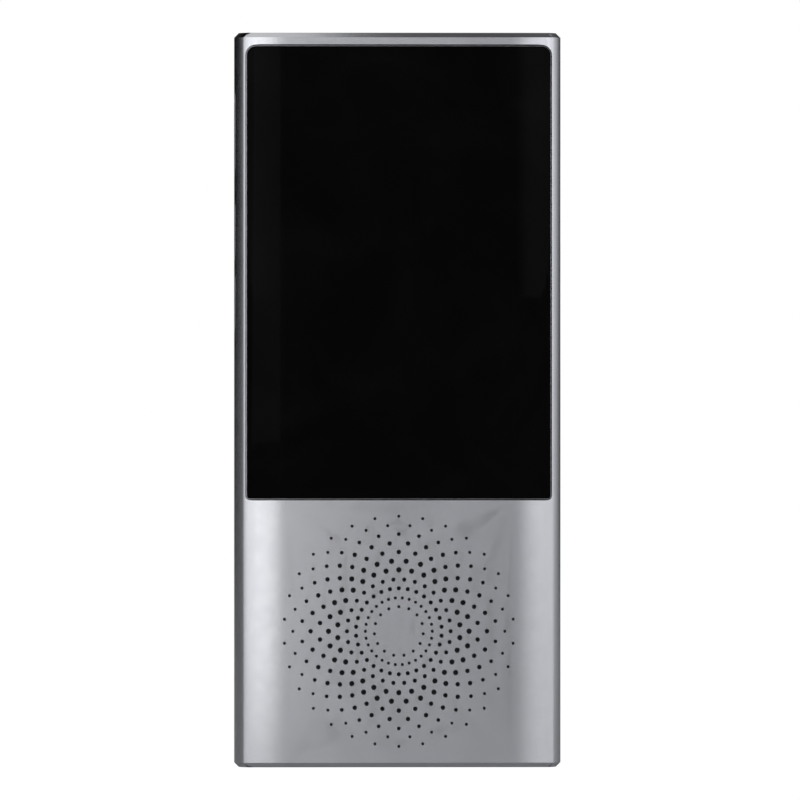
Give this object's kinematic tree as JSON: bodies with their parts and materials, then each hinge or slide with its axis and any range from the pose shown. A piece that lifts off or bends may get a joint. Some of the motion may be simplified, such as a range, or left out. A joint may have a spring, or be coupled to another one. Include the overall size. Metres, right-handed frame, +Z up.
{
  "type": "handheld translator",
  "caption": "Slim upright handheld translator in an extruded metal sleeve, with a black cover glass above a round drilled speaker grille, flush side keys and inset end caps.",
  "frame": {"origin": "middle of the bottom end, on the surface it stands on", "axes": "+Z up its height, +X across its width to the right as seen from the screen, -Y out of the screen"},
  "size_m": [0.05, 0.011, 0.1123],
  "materials": {
    "sleeve_metal": "bead-blasted grey anodising",
    "cover_glass": "black-backed glass, polished",
    "adhesive": "black foam tape",
    "display": "unlit display",
    "flex": "amber polyimide ribbon",
    "frame_plastic": "moulded glass-filled nylon",
    "circuit_board": "solder mask",
    "screw_steel": "machined",
    "shield_metal": "tin plate",
    "chip_plastic": "moulded epoxy",
    "battery_foil": "laminated foil",
    "mesh": "woven acoustic mesh",
    "soft_black": "moulded rubber",
    "cone": "pressed film",
    "copper": "copper",
    "magnet": "nickel plated",
    "cap_plastic": "fine texture",
    "port_steel": "deep drawn",
    "tongue_plastic": "moulded",
    "switch": "moulded with steel dome",
    "ring_metal": "turned and anodised",
    "camera_glass": "coated glass, polished",
    "lamp_clear": "frosted clear plastic",
    "lamp_yellow": "phosphor",
    "key_metal": "bead-blasted grey anodising",
    "tray_metal": "bead-blasted grey anodising",
    "card": "printed card with gold contacts"
  },
  "bodies": {
    "housing": {"body_shell": "sleeve_metal", "cover_glass": "cover_glass", "display_adhesive": "adhesive", "display_panel": "display", "display_flex": "flex", "inner_frame": "frame_plastic", "main_board": "circuit_board", "board_screws": "screw_steel", "processor_shield": "shield_metal", "processor_chip": "chip_plastic", "radio_shield": "shield_metal", "radio_chip": "chip_plastic", "memory_chip": "chip_plastic", "sub_board": "circuit_board", "board_flex": "flex", "flex_connectors": "chip_plastic", "battery_cell": "battery_foil", "battery_adhesive": "adhesive", "battery_lead": "flex", "grille_mesh": "mesh", "speaker_gasket": "soft_black", "speaker_frame": "frame_plastic", "speaker_cone": "cone", "voice_coil": "copper", "speaker_yoke": "shield_metal", "speaker_magnet": "magnet", "pole_plate": "shield_metal", "bottom_cap": "cap_plastic", "top_cap": "cap_plastic", "cap_screws": "screw_steel", "usb_port": "port_steel", "usb_tongue": "tongue_plastic", "microphones": "shield_metal", "microphone_boots": "soft_black", "key_switches": "switch", "right_key_flex": "flex", "left_key_flex": "flex", "power_key_flex": "flex", "sim_socket": "shield_metal", "camera_ring": "ring_metal", "camera_window": "camera_glass", "camera_module": "chip_plastic", "lamp_guide": "lamp_clear", "lamp_led": "lamp_yellow", "antenna_carrier": "frame_plastic", "antenna_strip": "copper"},
    "power_key": {"power_key": "key_metal"},
    "own_talk_key": {"own_talk_key": "key_metal"},
    "other_talk_key": {"other_talk_key": "key_metal"},
    "volume_up_key": {"volume_up_key": "key_metal"},
    "volume_down_key": {"volume_down_key": "key_metal"},
    "sim_tray": {"sim_tray": "tray_metal", "sim_card": "card"}
  },
  "joints": [
    {"name": "power_key_press", "type": "slide", "parent": "housing", "child": "power_key", "axis": [0, 0, -1], "range_m": [0, 0.00035], "stiffness_N_per_m": 400},
    {"name": "own_talk_key_press", "type": "slide", "parent": "housing", "child": "own_talk_key", "axis": [-1, 0, 0], "range_m": [0, 0.00035], "stiffness_N_per_m": 400},
    {"name": "other_talk_key_press", "type": "slide", "parent": "housing", "child": "other_talk_key", "axis": [-1, 0, 0], "range_m": [0, 0.00035], "stiffness_N_per_m": 400},
    {"name": "volume_up_key_press", "type": "slide", "parent": "housing", "child": "volume_up_key", "axis": [1, 0, 0], "range_m": [0, 0.00035], "stiffness_N_per_m": 400},
    {"name": "volume_down_key_press", "type": "slide", "parent": "housing", "child": "volume_down_key", "axis": [1, 0, 0], "range_m": [0, 0.00035], "stiffness_N_per_m": 400},
    {"name": "sim_tray_slide", "type": "slide", "parent": "housing", "child": "sim_tray", "axis": [-1, 0, 0], "range_m": [0, 0.014]}
  ]
}
